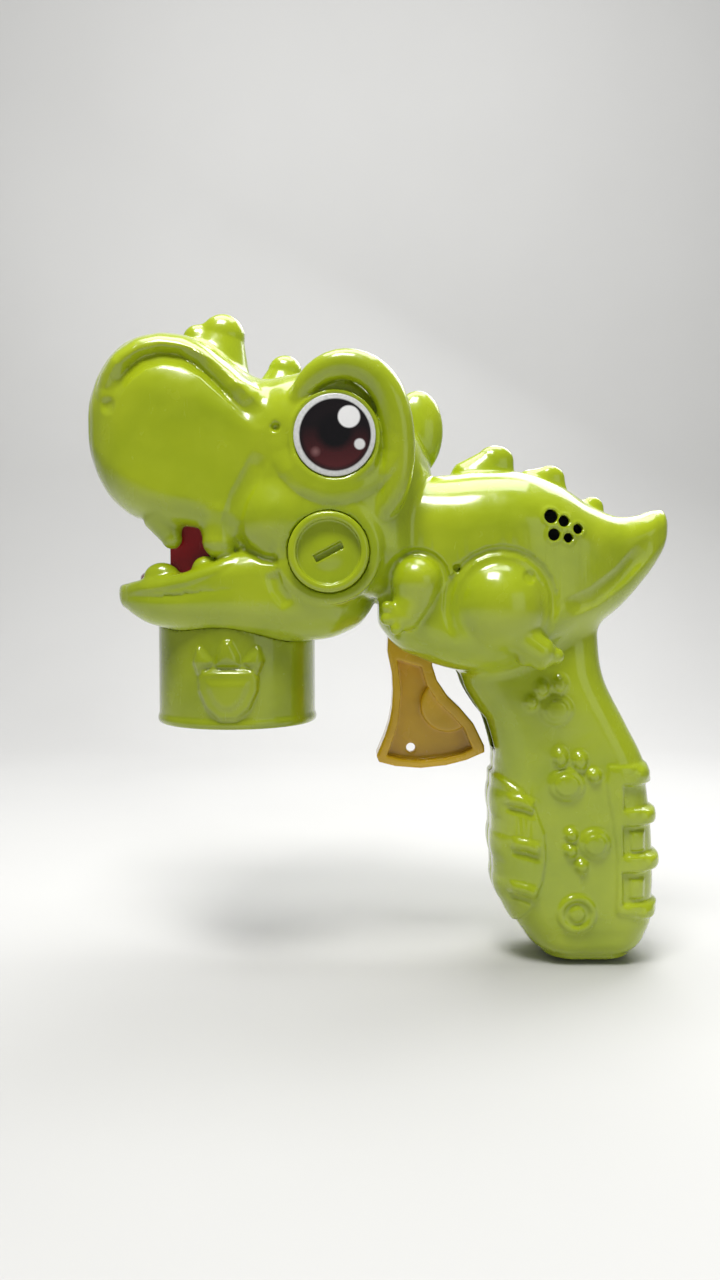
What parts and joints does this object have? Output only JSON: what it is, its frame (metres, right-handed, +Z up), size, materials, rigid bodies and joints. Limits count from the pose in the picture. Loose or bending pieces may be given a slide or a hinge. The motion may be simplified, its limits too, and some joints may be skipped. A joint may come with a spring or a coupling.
{
  "type": "bubble machine",
  "caption": "Hand-held battery bubble blower shaped as a dinosaur, with a pistol grip, trigger, fan and roller pump, mouth nozzle with wiper, and a screw-in bottle collar.",
  "frame": {"origin": "centre of the bottle thread's mouth, on the collar's axis", "axes": "+Z up along the collar's axis, -X towards the snout, +X towards the tail, the casing parts on Y = 0"},
  "size_m": [0.1995, 0.074, 0.227],
  "materials": {
    "green_plastic": "glossy moulded plastic, lime green",
    "cap_plastic": "glossy moulded plastic, lime green",
    "collar_plastic": "glossy moulded plastic, mid green",
    "trigger_plastic": "glossy moulded plastic, amber yellow",
    "red_plastic": "glossy moulded plastic, dark red",
    "eye_print": "printed disc, glossy, dark brown iris on white",
    "white_plastic": "natural white moulded plastic",
    "dark_plastic": "black moulded plastic",
    "gear_plastic": "acetal, natural white",
    "seal_rubber": "soft black rubber",
    "clear_tube": "translucent soft tube",
    "motor_steel": "plated steel can",
    "steel": "plain steel",
    "contact_metal": "nickel-plated spring steel",
    "cell_jacket": "plain printed metal jacket, no label",
    "board": "glass-fibre circuit board",
    "speaker_cone": "black speaker",
    "lamp_plastic": "clear lamp body"
  },
  "bodies": {
    "casing": {"left_shell": "green_plastic", "right_shell": "green_plastic", "left_cheek_cap": "cap_plastic", "right_cheek_cap": "cap_plastic", "bottle_collar": "collar_plastic", "left_eye": "eye_print", "right_eye": "eye_print", "bottle_seal": "seal_rubber", "inlet_nipple": "white_plastic", "bubble_nozzle": "red_plastic", "mouth_liner": "red_plastic", "tongue": "red_plastic", "air_duct": "white_plastic", "fan_housing": "white_plastic", "fan_cover": "white_plastic", "motor": "motor_steel", "gear_plate_inner": "white_plastic", "gear_plate_outer": "white_plastic", "gear_axles": "steel", "pump_housing": "white_plastic", "supply_tube": "clear_tube", "trigger_pin": "steel", "trigger_spring": "steel", "yoke_pins": "steel", "switch_bracket": "white_plastic", "switch_body": "dark_plastic", "battery_box": "dark_plastic", "aa_cells": "cell_jacket", "battery_contacts": "contact_metal", "speaker": "speaker_cone", "circuit_board": "board", "head_lamps": "lamp_plastic", "shell_screws": "steel"},
    "trigger_body": {"trigger": "trigger_plastic"},
    "wiper_link_body": {"wiper_link": "white_plastic"},
    "wiper_yoke_body": {"wiper_yoke": "red_plastic"},
    "switch_plunger_body": {"switch_plunger": "dark_plastic"},
    "fan_rotor": {"fan_impeller": "white_plastic", "motor_shaft": "steel", "motor_pinion": "gear_plastic"},
    "gear_1_body": {"gear_1": "gear_plastic"},
    "gear_2_body": {"gear_2": "gear_plastic"},
    "pump_rotor_body": {"pump_gear": "gear_plastic", "pump_rotor": "white_plastic", "pump_roller_1": "gear_plastic", "pump_roller_2": "gear_plastic", "pump_roller_3": "gear_plastic"},
    "battery_door_body": {"battery_door": "green_plastic"}
  },
  "joints": [
    {"name": "trigger_pull", "type": "hinge", "parent": "casing", "child": "trigger_body", "pos_m": [0.0634, 0, 0.02], "axis": [0, -1, 0], "range_deg": [0, 10], "stiffness_Nm_per_rad": 0.6, "springref_deg": -6.88, "deforming": ["trigger_spring"]},
    {"name": "wiper_link_slide", "type": "slide", "parent": "casing", "child": "wiper_link_body", "axis": [-1, 0, 0], "range_m": [0, 0.00545]},
    {"name": "wiper_swing", "type": "hinge", "parent": "casing", "child": "wiper_yoke_body", "pos_m": [0.016, 0, 0.04518], "axis": [0, -1, 0], "range_deg": [0, 50.01]},
    {"name": "switch_press", "type": "slide", "parent": "casing", "child": "switch_plunger_body", "axis": [0, 0, 1], "range_m": [0, 0.00343]},
    {"name": "fan_spin", "type": "hinge", "parent": "casing", "child": "fan_rotor", "pos_m": [0.0385, 0, 0.066], "axis": [0, -1, 0], "continuous": true},
    {"name": "gear_1_spin", "type": "hinge", "parent": "casing", "child": "gear_1_body", "pos_m": [0.02459, 0, 0.06973], "axis": [0, -1, 0], "continuous": true},
    {"name": "gear_2_spin", "type": "hinge", "parent": "casing", "child": "gear_2_body", "pos_m": [0.01041, 0, 0.07223], "axis": [0, -1, 0], "continuous": true},
    {"name": "pump_spin", "type": "hinge", "parent": "casing", "child": "pump_rotor_body", "pos_m": [-0.00312, 0, 0.07715], "axis": [0, -1, 0], "continuous": true},
    {"name": "battery_door_lift", "type": "slide", "parent": "casing", "child": "battery_door_body", "axis": [0, 1, 0], "range_m": [0, 0.03]}
  ],
  "couplings": [
    {"joint": "wiper_link_slide", "follows": "trigger_pull", "m_per_rad": 0.031118},
    {"joint": "wiper_swing", "follows": "trigger_pull", "ratio": 5},
    {"joint": "switch_press", "follows": "trigger_pull", "m_per_rad": 0.0196},
    {"joint": "gear_1_spin", "follows": "fan_spin", "ratio": -0.33333},
    {"joint": "gear_2_spin", "follows": "fan_spin", "ratio": 0.11111},
    {"joint": "pump_spin", "follows": "fan_spin", "ratio": -0.037037}
  ]
}
